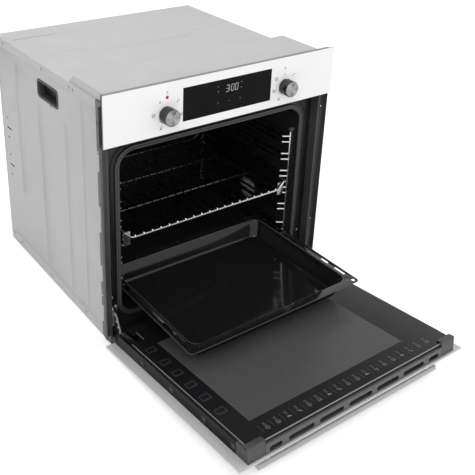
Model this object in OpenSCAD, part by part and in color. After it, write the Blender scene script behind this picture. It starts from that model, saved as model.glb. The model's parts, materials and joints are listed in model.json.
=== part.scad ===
// Built-in wall oven with a drop-down glass door, a pull-out tray and a wire shelf on rails.
// Millimetres. X is to the right seen from the front, the front faces -Y, Z is up.
// The cabinet front is the plane y = 0 and the oven stands on z = 0.

/* [Front] */
// Width of the control panel and the door glass
front_w = 595; // [594:1:600]
// Lower edge of the control panel
panel_low = 485; // [484:1:488]
// Upper edge of the control panel
panel_high = 595; // [590:1:600]
// Distance of the glass face from the cabinet front
front_out = 20; // [20:1:21]
// Thickness of the front glasses
glass_t = 4; // [3.5:0.5:4]
// Distance of each knob from the middle
knob_x = 155; // [150:1:165]
// Height of the knob axes
knob_z = 528; // [522:1:534]
// Diameter of a knob
knob_d = 36; // [30:1:40]

/* [Housing] */
// Width of the housing
housing_w = 560; // [560:1:562]
// Depth of the housing behind the cabinet front
housing_d = 545; // [540:1:560]
// Height of the housing
housing_h = 566; // [564:1:568]
// Height of the raised part at the front of the top cover
ledge_z = 585; // [580:1:588]
// Thickness of the sheet steel
sheet = 1; // [0.8:0.1:1]

/* [Cavity] */
// Inner width of the cavity
cavity_w = 484; // [484:1:486]
// Height of the cavity floor
cavity_low = 58; // [56:1:58]
// Height of the cavity ceiling
cavity_high = 448; // [446:1:450]
// Distance of the cavity rear wall from the cabinet front
cavity_back = 435; // [435:1:440]
// Corner radius of the cavity
cavity_r = 35; // [25:1:40]
// Front face of the enamelled frame
frame_y = 20; // [20:0.5:21]

/* [Door] */
// Opening angle of the door in the resting pose
door_open = 84; // [83:0.5:84]
// Height of the lower door edge when the door is shut
door_low = 4; // [4:0.5:5]
// Height of the upper door edge when the door is shut
door_high = 479; // [470:1:480]
// Distance of the hinge axis from the cabinet front
pivot_out = 12; // [12:0.1:12.2]
// Height of the hinge axis
pivot_z = 12; // [12:0.1:12.2]
// Diameter of the hinge pin
pin_d = 5; // [4:0.1:5]

/* [Tray and shelf] */
// Width of the tray over its rim
tray_w = 466; // [460:1:468]
// Depth of the tray over its rim
tray_d = 370; // [360:1:375]
// Front edge of the tray in the resting pose
tray_front = -235; // [-240:1:-225]
// Height of the tray rim
tray_z = 111; // [110.6:0.1:111.4]
// Depth of the pan
tray_deep = 43; // [40:1:44]
// Wire pitch of the shelf
shelf_pitch = 22; // [20:1:22]
// Height of the shelf wires
shelf_z = 232; // [231:1:233]

/* [Hidden] */
$fn = 40;
half_front = front_w / 2;
half_house = housing_w / 2;
glass_y = -front_out;
glass_back = glass_y + glass_t;
flange_t = 3;
frame_t = 1.2;
frame_back = frame_y + frame_t;
trim_t = 1.5;
pivot_y = -pivot_out;
fan_z = (cavity_low + cavity_high) / 2;
fan_front = 404;
motor_front = 462;
axle_r = 4;
lamp_y = 190;
lamp_z = 162;
lamp_r = 24;
rung_x = 224;
rung_r = 2.5;
rod_x = 239;
rod_y = [40, 398];
rung_y = [50, 388];
rung_levels = [107.4, 166, 212, 258, 304, 350];
rung_gap = 15;
tray_gap = 20;
strip_slots = [[41, 86], [146, 188], [268, 331], [409, 450]];
mount_x = 290;
mount_z = [144, 447];
window_x = 115;
window_z = [503, 576];
lens_at = [2 - knob_x, 564];
lens_r = 3.5;
arm_x = [258, 262];
cheek_x = [[254, 256], [264, 266]];
boss_r = 3.8;
door_side = 276;
door_in = 240;
inner_y = [11.5, 15.5];
cap_x = 236;
cap_z = 475;
handle_at = [-52, 453];
vent_slots = [[-212, 30], [-151, 62], [-75.5, 62], [0, 62], [75.5, 62], [151, 62], [212, 30]];
cup_y = [212, 312];
cup_z = [485, 525];
inlet = [200, 60];
element_r = 3.3;
rotor_at = [424, 509];
shaft_r = 3;
head_r = 3.4;
head_t = 1.4;
running = 0.05;
over = 1;

// Limits of a width w about the middle c
function about(c, w) = [c - w / 2, c + w / 2];

// Box between two limits on each axis
module span(x, y, z) {
  translate([x[0], y[0], z[0]]) cube([x[1] - x[0], y[1] - y[0], z[1] - z[0]]);
}

// Outline with round corners, centred
module round_rect(w, h, r) {
  square([w - 2 * r, h], center = true);
  square([w, h - 2 * r], center = true);
  for (i = [-1, 1], j = [-1, 1]) translate([i * (w / 2 - r), j * (h / 2 - r)]) circle(r);
}

// Outline in X and Z drawn out along Y
module along_y(y) {
  translate([0, y[1], 0]) rotate([90, 0, 0]) linear_extrude(y[1] - y[0]) children();
}

// Outline in Y and Z drawn out along X
module along_x(x) {
  translate([x[0], 0, 0]) rotate([90, 0, 90]) linear_extrude(x[1] - x[0]) children();
}

// Round bars along the axes
module bar_y(x, z, r, y) {
  translate([x, y[1], z]) rotate([90, 0, 0]) cylinder(r = r, h = y[1] - y[0]);
}

module bar_x(y, z, r, x) {
  translate([x[0], y, z]) rotate([0, 90, 0]) cylinder(r = r, h = x[1] - x[0]);
}

// Bent wire through points, with a ball at each bend
module wire(p, r) {
  for (i = [0 : len(p) - 2]) {
    d = p[i + 1] - p[i];
    translate(p[i]) rotate([0, acos(d[2] / norm(d)), atan2(d[1], d[0])]) cylinder(r = r, h = norm(d));
  }
  for (i = [1 : 1 : len(p) - 2]) translate(p[i]) sphere(r);
}

module both_sides() {
  children();
  mirror([1, 0, 0]) children();
}

module left() {
  mirror([1, 0, 0]) children();
}

// Door pieces are drawn shut and turned open about the hinge axis
module open_door() {
  translate([0, pivot_y, pivot_z]) rotate([door_open, 0, 0]) translate([0, -pivot_y, -pivot_z]) children();
}

// Rounded prism of the cavity, grown by g
module cavity_prism(g, y) {
  w = cavity_w + 2 * g;
  h = cavity_high - cavity_low + 2 * g;
  translate([0, 0, (cavity_low + cavity_high) / 2]) along_y(y) round_rect(w, h, cavity_r + g);
}

module base_plate() {
  lip = 12;
  slot = [44, 6];
  pitch = [70, 30];
  last_slot = 522;
  x = [sheet - half_house, half_house - sheet];
  color("gainsboro") difference() {
    union() {
      span(x, [0, housing_d - sheet], [0, sheet]);
      span(x, [frame_back, frame_back + sheet], [0, lip]);
    }
    for (i = [-3 : 3], j = [0 : 4]) {
      y = last_slot - j * pitch[1];
      span(about(i * pitch[0], slot[0]), [y, y + slot[1]], [-over, sheet + over]);
    }
  }
}

module side_panel() {
  wall = [half_house - sheet, half_house];
  through = [wall[0] - over, wall[1] + over];
  foot_w = 12;
  foot_y = [frame_y + 40, housing_d - 20];
  hole_z = [204, 259, 308, 361];
  hole_y = 510;
  hole_r = 3;
  slot_z = [232, 334];
  slot_y = [490, 516];
  slot_h = 4;
  color("silver") difference() {
    union() {
      span(wall, [frame_back, housing_d - sheet], [sheet, housing_h - sheet]);
      span([half_house - foot_w, half_house], foot_y, [sheet, 2 * sheet]);
    }
    span(through, cup_y, cup_z);
    for (z = hole_z) bar_x(hole_y, z, hole_r, through);
    for (z = slot_z) span(through, slot_y, about(z, slot_h));
  }
}

module left_side_panel() {
  left() side_panel();
}

module right_side_panel() {
  side_panel();
}

module top_cover() {
  slope = [135, 158];
  lap = 2;
  drop = 0.6;
  skirt_h = 21;
  skirt_front = 40;
  side = half_house - lap;
  skirt = half_house + sheet;
  top = housing_h;
  color("silver") {
    along_x([-side, side])
      polygon([[-lap, ledge_z - sheet], [-lap, ledge_z], [slope[0], ledge_z], [slope[1], top],
        [slope[1] + lap, top], [slope[1] + lap, top - sheet], [slope[1] - drop, top - sheet],
        [slope[0] - drop, ledge_z - sheet]]);
    span([-skirt, skirt], [slope[1], housing_d], [top - sheet, top]);
    both_sides() {
      along_x([side - sheet, side])
        polygon([[-lap, top - sheet / 2], [-lap, ledge_z], [slope[0], ledge_z], [slope[1], top],
          [slope[1], top - sheet / 2]]);
      span([side - sheet, skirt], [skirt_front, slope[1] + sheet], [top - sheet, top]);
      span([half_house, skirt], [skirt_front, housing_d], [top - skirt_h, top]);
    }
  }
}

module rear_panel() {
  slot = [56, 4];
  pitch = [80, 14];
  blocks = [[400, 8], [150, 6]];
  gland_r = 10;
  through = [housing_d - sheet - over, housing_d + over];
  color("silver") difference() {
    span([-half_house, half_house], [housing_d - sheet, housing_d], [sheet, housing_h - sheet]);
    for (b = blocks, i = [-2 : 2], j = [0 : b[1] - 1]) {
      z = b[0] + j * pitch[1];
      span(about(i * pitch[0], slot[0]), through, [z, z + slot[1]]);
    }
    bar_y(inlet[0], inlet[1], gland_r, through);
  }
}

module front_frame() {
  low = 28;
  top = housing_h + 1;
  roof = [panel_low - 2, panel_low - 1];
  lip = [13, 1.5];
  arm_slot = [12, 58];
  bolt_r = 2.5;
  through = [frame_y - over, frame_back + over];
  color("#1c1c1c") difference() {
    union() {
      difference() {
        span([-half_house, half_house], [frame_y, frame_back], [sheet, roof[1]]);
        cavity_prism(0, through);
      }
      span([sheet - half_house, half_house - sheet], [0, frame_y], roof);
      both_sides() {
        span([half_house - sheet, half_house], [-flange_t, frame_back], [sheet, top]);
        span([half_house - sheet, half_front], [-flange_t, 0], [low, top]);
        span([half_front - lip[1], half_front], [-lip[0], 0], [low, roof[1]]);
      }
    }
    both_sides() {
      span(about((arm_x[0] + arm_x[1]) / 2, arm_slot[0]), through, [low, low + arm_slot[1]]);
      for (z = mount_z) bar_y(mount_x, z, bolt_r, [-flange_t - over, over]);
    }
  }
}

module frame_trim() {
  x = [half_house, half_house + trim_t];
  through = [x[0] - over, x[1] + over];
  y = [0, 38];
  slot_front = 24;
  hole_y = 34;
  hole_z = [467, 519];
  hole_r = 2.5;
  low = 5;
  color("#5a5d60") difference() {
    span(x, y, [low, housing_h + 1]);
    for (s = strip_slots) span(through, [slot_front, y[1] + over], s);
    for (z = hole_z) bar_x(hole_y, z, hole_r, through);
  }
}

module left_frame_trim() {
  left() frame_trim();
}

module right_frame_trim() {
  frame_trim();
}

module cavity() {
  y = [frame_back, cavity_back + sheet];
  axle_hole_r = 7;
  color("#161616") difference() {
    cavity_prism(sheet, y);
    cavity_prism(0, [y[0] - over, cavity_back]);
    bar_y(0, fan_z, axle_hole_r, [cavity_back - over, y[1] + over]);
    bar_x(lamp_y, lamp_z, lamp_r, [cavity_w / 2 - over, cavity_w / 2 + sheet + over]);
  }
}

module door_seal() {
  band = 12;
  set_back = 0.5;
  t = 4;
  color("#3c3c3c") difference() {
    cavity_prism(band, [frame_y - t, frame_y]);
    cavity_prism(set_back, [frame_y - t - over, frame_y + over]);
  }
}

module insulation() {
  half = 268;
  y = [66, motor_front];
  z = [40, 470];
  gap = 0.5;
  axle_gap = 5;
  lamp_gap = 3;
  bed = [[-205, 205], [80, 425], [47, 60]];
  color("khaki") difference() {
    span([-half, half], y, z);
    cavity_prism(sheet + gap, [y[0] - over, cavity_back + 2 * sheet]);
    bar_y(0, fan_z, axle_r + axle_gap, [cavity_back, y[1] + over]);
    bar_x(lamp_y, lamp_z, lamp_r + lamp_gap, [cavity_w / 2, half + over]);
    span(bed[0], bed[1], bed[2]);
  }
}

module fan_cover() {
  half = 118;
  y = [fan_front, cavity_back];
  face_cut = [y[0] - over, y[0] + sheet + over];
  hole_r = 3.2;
  ring = 14;
  per_ring = 12;
  slot = [24, 4];
  slot_x = 95;
  slot_pitch = 22;
  color("#222222") difference() {
    span([-half, half], y, [fan_z - half, fan_z + half]);
    span([sheet - half, half - sheet], [y[0] + sheet, y[1] + over],
      [fan_z - half + sheet, fan_z + half - sheet]);
    for (r = [ring : ring : 4 * ring], k = [0 : per_ring - 1])
      translate([0, 0, fan_z]) rotate([0, k * 360 / per_ring + r / 2, 0]) bar_y(r, 0, hole_r, face_cut);
    for (i = [-1, 1], j = [-4 : 4])
      span(about(i * slot_x, slot[0]), face_cut, about(fan_z + j * slot_pitch, slot[1]));
  }
}

module convection_fan() {
  blades = 10;
  blade = [12, 76];
  blade_t = 1.2;
  plate = [426, 427.5];
  plate_r = 78;
  hub_r = 14;
  axle_back = 495;
  color("lightgray") {
    bar_y(0, fan_z, axle_r, [fan_front + 6, axle_back]);
    bar_y(0, fan_z, hub_r, [fan_front + 8, plate[1] + 0.5]);
    bar_y(0, fan_z, plate_r, plate);
    for (k = [0 : blades - 1])
      translate([0, 0, fan_z]) rotate([0, k * 360 / blades, 0])
        span(blade, [fan_front + 10, plate[0] + 0.5], about(0, blade_t));
  }
}

module fan_motor() {
  can_r = 36;
  back = 506;
  bore_end = 498;
  bracket = [120, 2, 28];
  color("dimgray") difference() {
    union() {
      bar_y(0, fan_z, can_r, [motor_front + 1, back]);
      span(about(0, bracket[0]), [motor_front, motor_front + bracket[1]], about(fan_z, bracket[2]));
    }
    bar_y(0, fan_z, axle_r + running, [motor_front - 2, bore_end]);
  }
}

module ring_element() {
  ring_r = 98;
  y = fan_front + 14;
  leg_x = 12;
  color("#777777") {
    translate([0, y, fan_z]) rotate([90, 0, 0]) rotate_extrude() translate([ring_r, 0]) circle(element_r);
    both_sides() bar_y(leg_x, fan_z + ring_r - 1, element_r, [y, cavity_back]);
  }
}

// Bent rod that runs to and fro along Y
module serpentine(x0, pitch, n, y, z) {
  for (i = [0 : n - 1]) bar_y(x0 + i * pitch, z, element_r, y);
  for (i = [0 : n - 2]) {
    at = i % 2 == 0 ? y[0] : y[1];
    turn = i % 2 == 0 ? 180 : 0;
    translate([x0 + (i + 0.5) * pitch, at, z]) rotate([0, 0, turn])
      rotate_extrude(angle = 180) translate([pitch / 2, 0]) circle(element_r);
  }
}

module grill_element() {
  legs = 6;
  pitch = 70;
  y = [110, 360];
  z = cavity_high - 12;
  x = pitch * (legs - 1) / 2;
  color("#666666") {
    serpentine(-x, pitch, legs, y, z);
    both_sides() bar_y(x, z, element_r, [y[1] - 1, cavity_back]);
  }
}

module bottom_element() {
  legs = 6;
  pitch = 60;
  y = [130, 370];
  color("#666666") serpentine(-pitch * (legs - 1) / 2, pitch, legs, y, cavity_low - 6);
}

module blower_housing() {
  half = 150;
  scroll = [[378, 470], [470, 548]];
  duct_h = 14;
  hole_r = 5;
  vent = [16, 48];
  vent_pitch = 24;
  inside = [sheet - half, half - sheet];
  low = scroll[1][0];
  high = scroll[1][1];
  color("lightgray") difference() {
    union() {
      span([-half, half], scroll[0], scroll[1]);
      span([-half, half], [frame_y + 2, scroll[0][0] + sheet], [low, low + duct_h]);
    }
    span(inside, [scroll[0][0] + sheet, scroll[0][1] - sheet], [low + sheet, high - sheet]);
    span(inside, [frame_y + 1, scroll[0][0] + 2 * sheet], [low + sheet, low + duct_h - sheet]);
    bar_x(rotor_at[0], rotor_at[1], hole_r, [half - 2 * over, half + over]);
    for (i = [-5 : 5])
      span(about(i * vent_pitch, vent[0]), about(rotor_at[0], vent[1]), [high - sheet - over, high + over]);
  }
}

module cooling_rotor() {
  discs = [-142, 0, 140];
  disc_t = 1.5;
  disc_r = 30;
  blades = 12;
  blade = [22, 29];
  color("gray") {
    bar_x(rotor_at[0], rotor_at[1], shaft_r, [discs[0] - 3, 185]);
    for (x = discs) bar_x(rotor_at[0], rotor_at[1], disc_r, [x, x + disc_t]);
    for (k = [0 : blades - 1])
      translate([0, rotor_at[0], rotor_at[1]]) rotate([k * 360 / blades, 0, 0])
        span([discs[0], discs[2] + 1], blade, about(0, 1));
  }
}

module blower_motor() {
  x = [150, 205];
  size = [48, 46];
  bore_end = 188;
  color("dimgray") difference() {
    span(x, about(rotor_at[0], size[0]), about(rotor_at[1], size[1]));
    bar_x(rotor_at[0], rotor_at[1], shaft_r + running, [x[0] - over, bore_end]);
  }
}

module rack() {
  rod = [102, 275];
  color("gainsboro") {
    for (y = rod_y) translate([rod_x, y, rod[0]]) cylinder(r = rung_r, h = rod[1]);
    for (i = [0 : len(rung_levels) - 1], up = [0, 1]) {
      z = rung_levels[i] + up * (i == 0 ? tray_gap : rung_gap);
      wire([[rod_x, rod_y[0], z], [rung_x, rung_y[0], z], [rung_x, rung_y[1], z],
        [rod_x, rod_y[1], z]], rung_r);
    }
  }
}

module left_rack() {
  left() rack();
}

module right_rack() {
  rack();
}

module rack_studs() {
  z = [96, 383];
  r = 5;
  color("silver") both_sides() for (y = rod_y, h = z) bar_x(y, h, r, [rod_x - 3, cavity_w / 2]);
}

module lamp_housing() {
  back = 267;
  wall = [2, 3];
  color("lightgray") difference() {
    bar_x(lamp_y, lamp_z, lamp_r + wall[0], [cavity_w / 2 + sheet, back]);
    bar_x(lamp_y, lamp_z, lamp_r, [cavity_w / 2, back - wall[1]]);
  }
}

module lamp_bulb() {
  glass = [245, 256];
  glass_r = 8;
  base_r = 6;
  base_end = 264;
  color("ivory") {
    bar_x(lamp_y, lamp_z, glass_r, glass);
    bar_x(lamp_y, lamp_z, base_r, [glass[1] - 1, base_end]);
  }
}

module lamp_cover() {
  wall = cavity_w / 2;
  flange = [4, 3.5];
  plug = [0.5, 2];
  glass = [4, 3];
  color("lightcyan") difference() {
    union() {
      bar_x(lamp_y, lamp_z, lamp_r + flange[0], [wall - flange[1], wall]);
      bar_x(lamp_y, lamp_z, lamp_r - plug[0], [wall - plug[1], wall + plug[1]]);
    }
    bar_x(lamp_y, lamp_z, lamp_r - glass[0], [wall - 1, wall + glass[1]]);
  }
}

module grip_cups() {
  deep = 22;
  wall = 2;
  gap = 0.5;
  rim = [6, 1.2];
  inner = half_house - sheet;
  color("dimgray") both_sides() difference() {
    union() {
      span([half_house - deep, inner], [cup_y[0] + gap, cup_y[1] - gap], [cup_z[0] + gap, cup_z[1] - gap]);
      span([inner - rim[1], inner], [cup_y[0] - rim[0], cup_y[1] + rim[0]],
        [cup_z[0] - rim[0], cup_z[1] + rim[0]]);
    }
    span([half_house - deep + wall, half_house], [cup_y[0] + gap + wall, cup_y[1] - gap - wall],
      [cup_z[0] + gap + wall, cup_z[1] - gap - wall]);
  }
}

module terminal_block() {
  x = [165, 235];
  y = [505, housing_d - sheet];
  z = [90, 122];
  screws = 5;
  screw_r = 3;
  pitch = 12.5;
  first = [175, 515];
  color("ivory") difference() {
    span(x, y, z);
    for (i = [0 : screws - 1])
      translate([first[0] + i * pitch, first[1], z[0] + 10]) cylinder(r = screw_r, h = z[1] - z[0]);
  }
}

module cable_gland() {
  flange = [14, 6];
  plug = [9.9, 14];
  cable_r = 5;
  color("#202020") difference() {
    union() {
      bar_y(inlet[0], inlet[1], flange[0], [housing_d, housing_d + flange[1]]);
      bar_y(inlet[0], inlet[1], plug[0], [housing_d - plug[1], housing_d + 1]);
    }
    bar_y(inlet[0], inlet[1], cable_r, [housing_d - plug[1] - over, housing_d + flange[1] + over]);
  }
}

module control_board() {
  half = 118;
  y = [-8, -6.5, -5];
  z = [498, 582];
  chip = [20, 20];
  pitch = 40;
  color("darkgreen") {
    span([-half, half], [y[1] - 0.1, y[2]], z);
    for (i = [-2 : 2]) span(about(i * pitch, chip[0]), [y[0], y[1]], about((z[0] + z[1]) / 2, chip[1]));
  }
}

module display_module() {
  half = 100;
  y = [-14, -8];
  z = [510, 572];
  color("#101010") span([-half, half], y, z);
}

// Body of a rotary switch with a bore for the knob's shaft
module switch_body(x, w) {
  y = [-12, 14];
  neck_r = 6;
  bore_end = 8;
  difference() {
    union() {
      span(about(x, w), y, about(knob_z, w));
      bar_y(x, knob_z, neck_r, [glass_back, y[0] + 1]);
    }
    bar_y(x, knob_z, shaft_r + running, [glass_y, bore_end]);
  }
}

module mode_switch() {
  color("#d8c9a0") switch_body(-knob_x, 30);
}

module thermostat() {
  color("#c9c9c9") switch_body(knob_x, 34);
}

module fascia_carrier() {
  x = half_front - 5;
  z = [panel_low + 3, panel_high - 3];
  wall = 6;
  web = 2;
  room = 40;
  color("#2b2b2b") difference() {
    span([-x, x], [glass_back, -flange_t], z);
    span([wall - x, x - wall], [glass_back - over, -flange_t - web], [z[0] + wall, z[1] - wall]);
    for (s = [-1, 1])
      span(about(s * knob_x, room), [glass_back + wall, over - flange_t], about(knob_z, room));
  }
}

module fascia_glass() {
  bore_r = 4.5;
  through = [glass_y - over, glass_back + over];
  color("#f4f4f2") difference() {
    span([-half_front, half_front], [glass_y, glass_back], [panel_low, panel_high]);
    for (s = [-1, 1]) bar_y(s * knob_x, knob_z, bore_r, through);
    span([-window_x, window_x], through, window_z);
    bar_y(lens_at[0], lens_at[1], lens_r, through);
  }
}

module display_window() {
  color("#141414") span([-window_x, window_x], [glass_y, glass_back], window_z);
}

module indicator_lens() {
  proud = 0.4;
  color("#c03020") bar_y(lens_at[0], lens_at[1], lens_r, [glass_y - proud, glass_back]);
}

module hinge_arm() {
  pocket = [6, 60];
  wall = 2;
  z = [30, 84];
  root = [34, 66];
  toe = -4;
  crown = [12, 60];
  color("silver") difference() {
    union() {
      span([arm_x[0] - pocket[0], arm_x[1] + pocket[0]], [frame_back, pocket[1]], z);
      along_x(arm_x)
        polygon([[pivot_y, pivot_z - boss_r], [toe, pivot_z - boss_r], [frame_y + 2, root[0]],
          [frame_y + 2, root[1]], crown, [pivot_y, pivot_z + boss_r]]);
      bar_x(pivot_y, pivot_z, boss_r, arm_x);
    }
    bar_x(pivot_y, pivot_z, pin_d / 2 + running, [arm_x[0] - over, arm_x[1] + over]);
    span([arm_x[0] - pocket[0] + wall, arm_x[1] + pocket[0] - wall], [frame_y + 10, pocket[1] - wall],
      [root[0], z[1] + over]);
  }
}

module left_hinge_arm() {
  left() hinge_arm();
}

module right_hinge_arm() {
  hinge_arm();
}

module fixed_rails() {
  x = [212, 221];
  y = [44, 392];
  z = [213, 230];
  wall = 2;
  color("silver") both_sides() difference() {
    span(x, y, z);
    span([x[0] - over, x[1] - wall], [y[0] - over, y[1] + over], [z[0] + wall, z[1] - wall]);
  }
}

module housing_screws() {
  top_y = [137, 154, 287, 504];
  low_y = [120, 300, 480];
  rear_x = 268;
  rear_z = [30, 290, 540];
  low_r = 3;
  wall = [half_house, half_house + head_t];
  color("silver") {
    both_sides() {
      for (y = top_y) bar_x(y, housing_h - 12, head_r, [wall[0] + sheet, wall[1] + sheet]);
      for (y = low_y) bar_x(y, 14, low_r, wall);
      bar_x(251, 479, head_r, wall);
      bar_x(528, 20, head_r, wall);
    }
    for (s = [-1, 1], z = rear_z) bar_y(s * rear_x, z, head_r, [housing_d, housing_d + head_t]);
  }
}

module frame_screws() {
  side_z = [114, 286, 456];
  side_y = 32;
  front_at = [266, 108];
  r = 3.2;
  wall = half_house + trim_t;
  color("silver") both_sides() {
    for (z = side_z) bar_x(side_y, z, r, [wall, wall + head_t]);
    bar_y(front_at[0], front_at[1], r, [frame_y - head_t, frame_y]);
  }
}

module outer_glass() {
  color("#d9dcdc") open_door() span([-half_front, half_front], [glass_y, glass_back], [door_low, door_high]);
}

module middle_glass() {
  half = 238;
  y = [-3, 1];
  z = [40, 440];
  color("#9aa4a4") open_door() span([-half, half], y, z);
}

module inner_glass() {
  half = 270;
  z = [40, 471];
  notch = 74;
  color("#7e8a8a") open_door() difference() {
    span([-half, half], inner_y, z);
    both_sides() span([door_in, half + over], [inner_y[0] - over, inner_y[1] + over], [z[0] - over, notch]);
  }
}

module door_profile() {
  z = [8, 440];
  free = 88;
  t = 2;
  color("#8f9294") open_door() {
    span([door_side - t, door_side], [glass_back, inner_y[0]], z);
    span([door_in, door_side - 1], [glass_back, glass_back + t], [free, z[1]]);
    span([door_in, door_side - 1], [inner_y[0] - t, inner_y[0]], [free, z[1]]);
    span([door_in, door_in + t], [glass_back + 1, inner_y[0] - 1], [free, z[1]]);
  }
}

module left_door_profile() {
  left() door_profile();
}

module right_door_profile() {
  door_profile();
}

module vent_trim() {
  y = [glass_back + 0.6, 7];
  low = 450;
  t = 2;
  slot_w = 10;
  slot_r = 4.9;
  slot_y = -7.3;
  color("#55585a") open_door() difference() {
    span([-cap_x, cap_x], y, [low, cap_z]);
    span([-cap_x - over, cap_x + over], [y[0] + t, y[1] - t], [low - over, cap_z - t]);
    for (s = vent_slots)
      translate([s[0], slot_y, low]) linear_extrude(cap_z - low + over) round_rect(s[1], slot_w, slot_r);
  }
}

module end_cap() {
  low = 440;
  lip = 18;
  glass_end = 471;
  pad = 461;
  color("#55585a") open_door() {
    span([cap_x, door_side], [glass_back, inner_y[0]], [low, cap_z]);
    span([cap_x, door_side], [inner_y[0] - 1, lip], [glass_end, cap_z]);
    span([cap_x, door_side], [inner_y[1], lip], [pad, cap_z - 1]);
  }
}

module left_end_cap() {
  left() end_cap();
}

module right_end_cap() {
  end_cap();
}

module bottom_profile() {
  half = 248;
  y = [glass_back, 8];
  z = [7, 39];
  t = 2;
  color("#8f9294") open_door() difference() {
    span([-half, half], y, z);
    span([-half - over, half + over], [y[0] + t, y[1] - t], [z[0] + t, z[1] + over]);
  }
}

module handle_bar() {
  half = 240;
  size = [12, 16];
  r = 3;
  color("#d0d2d2") open_door()
    translate([0, handle_at[0], handle_at[1]]) along_x([-half, half]) round_rect(size[0], size[1], r);
}

module handle_posts() {
  x = 215;
  r = 6;
  color("#d0d2d2") open_door() both_sides() bar_y(x, handle_at[1], r, [handle_at[0] + 6, glass_y]);
}

module hinge_body() {
  y = [glass_back, 8];
  z = [76, 86];
  color("#9a9da0") open_door() {
    for (c = cheek_x) {
      span(c, y, [pivot_z, z[1]]);
      bar_x(pivot_y, pivot_z, boss_r, c);
    }
    span([cheek_x[0][0], cheek_x[1][1]], y, z);
    bar_x(pivot_y, pivot_z, pin_d / 2, [cheek_x[0][0], cheek_x[1][1]]);
  }
}

module left_hinge_body() {
  left() hinge_body();
}

module right_hinge_body() {
  hinge_body();
}

module baking_tray() {
  rim = 20;
  rim_r = 10;
  pan_r = 22;
  wall = 1;
  y = [tray_front, tray_front + tray_d];
  mid = (y[0] + y[1]) / 2;
  pan = [tray_w - 2 * rim, tray_d - 2 * rim];
  low = tray_z - wall - tray_deep;
  slots = [[55, 34], [105, 24], [265, 24], [315, 34]];
  slot_w = 6;
  slot_r = 2.9;
  hang = [11, 5];
  cut = [tray_z - 5, 10];
  color("#4b4f52") difference() {
    union() {
      translate([0, mid, tray_z - wall]) linear_extrude(wall) round_rect(tray_w, tray_d, rim_r);
      translate([0, mid, low]) linear_extrude(tray_deep + wall / 2) round_rect(pan[0], pan[1], pan_r);
    }
    translate([0, mid, low + wall]) linear_extrude(tray_deep + over)
      round_rect(pan[0] - 2 * wall, pan[1] - 2 * wall, pan_r - wall);
    for (s = slots) both_sides()
      translate([(tray_w - rim) / 2, y[0] + s[0], cut[0]]) linear_extrude(cut[1])
        round_rect(slot_w, s[1], slot_r);
    translate([tray_w / 2 - hang[0], y[0] + hang[0], cut[0]]) cylinder(r = hang[1], h = cut[1]);
  }
}

module wire_shelf() {
  z = shelf_z;
  y = [34, 394];
  up = z + 19;
  n = 19;
  r = 3;
  thin_r = 1.6;
  cross_r = 2.4;
  cross_y = [150, 270];
  bend_x = 207;
  end_x = 225;
  first = -shelf_pitch * (n - 1) / 2;
  color("gainsboro") {
    for (v = y) {
      bar_x(v, z, r, [-bend_x - 4, bend_x + 4]);
      both_sides() wire([[bend_x, v, z], [end_x, v, up]], r - 0.2);
    }
    both_sides() bar_y(end_x, up, r, [y[0] - 3, y[1] + 3]);
    for (i = [0 : n - 1]) bar_y(first + i * shelf_pitch, z, thin_r, y);
    for (v = cross_y) bar_x(v, z - 3.5, cross_r, [1 - bend_x, bend_x - 1]);
  }
}

module sliding_rails() {
  slide = [[208, 218], [40, 390], [216, 227]];
  holder = [[208, 226], [37.5, 42], [214, 247.5]];
  color("silver") both_sides() for (b = [slide, holder]) span(b[0], b[1], b[2]);
}

module knob(x) {
  face = -46;
  edge = knob_d / 2;
  groove = [[edge - 9, edge - 3], [0, 1.6], [-0.8, 0.8]];
  shaft_end = 6;
  color("silver") difference() {
    union() {
      bar_y(x, knob_z, edge, [face, glass_y - 1]);
      bar_y(x, knob_z, shaft_r, [glass_y - 2, shaft_end]);
    }
    translate([x, face - 1, knob_z]) rotate([0, -40, 0]) span(groove[0], groove[1], groove[2]);
  }
}

module left_knob() {
  knob(-knob_x);
}

module right_knob() {
  knob(knob_x);
}

base_plate();
left_side_panel();
right_side_panel();
top_cover();
rear_panel();
front_frame();
left_frame_trim();
right_frame_trim();
cavity();
door_seal();
insulation();
fan_cover();
convection_fan();
fan_motor();
ring_element();
grill_element();
bottom_element();
blower_housing();
cooling_rotor();
blower_motor();
left_rack();
right_rack();
rack_studs();
lamp_housing();
lamp_bulb();
lamp_cover();
grip_cups();
terminal_block();
cable_gland();
control_board();
display_module();
mode_switch();
thermostat();
fascia_carrier();
fascia_glass();
display_window();
indicator_lens();
left_hinge_arm();
right_hinge_arm();
fixed_rails();
housing_screws();
frame_screws();
outer_glass();
middle_glass();
inner_glass();
left_door_profile();
right_door_profile();
vent_trim();
left_end_cap();
right_end_cap();
bottom_profile();
handle_bar();
handle_posts();
left_hinge_body();
right_hinge_body();
baking_tray();
wire_shelf();
sliding_rails();
left_knob();
right_knob();
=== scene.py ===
import json
import math

import bmesh
import bpy
from mathutils import Matrix, Vector


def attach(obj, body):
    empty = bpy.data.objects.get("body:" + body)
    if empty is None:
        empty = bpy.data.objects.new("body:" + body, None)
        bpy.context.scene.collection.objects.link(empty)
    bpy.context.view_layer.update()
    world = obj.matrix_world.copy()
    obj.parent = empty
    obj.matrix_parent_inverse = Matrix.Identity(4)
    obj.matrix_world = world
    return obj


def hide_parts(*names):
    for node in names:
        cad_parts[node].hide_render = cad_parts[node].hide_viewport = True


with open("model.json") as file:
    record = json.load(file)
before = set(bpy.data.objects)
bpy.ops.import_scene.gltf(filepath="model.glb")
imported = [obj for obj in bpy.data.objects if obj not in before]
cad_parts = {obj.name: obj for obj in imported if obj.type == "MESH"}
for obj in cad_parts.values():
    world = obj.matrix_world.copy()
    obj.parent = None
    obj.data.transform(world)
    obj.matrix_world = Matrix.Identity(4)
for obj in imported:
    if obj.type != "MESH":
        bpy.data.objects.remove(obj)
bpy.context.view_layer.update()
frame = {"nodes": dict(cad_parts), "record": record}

nodes = frame["nodes"]
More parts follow.
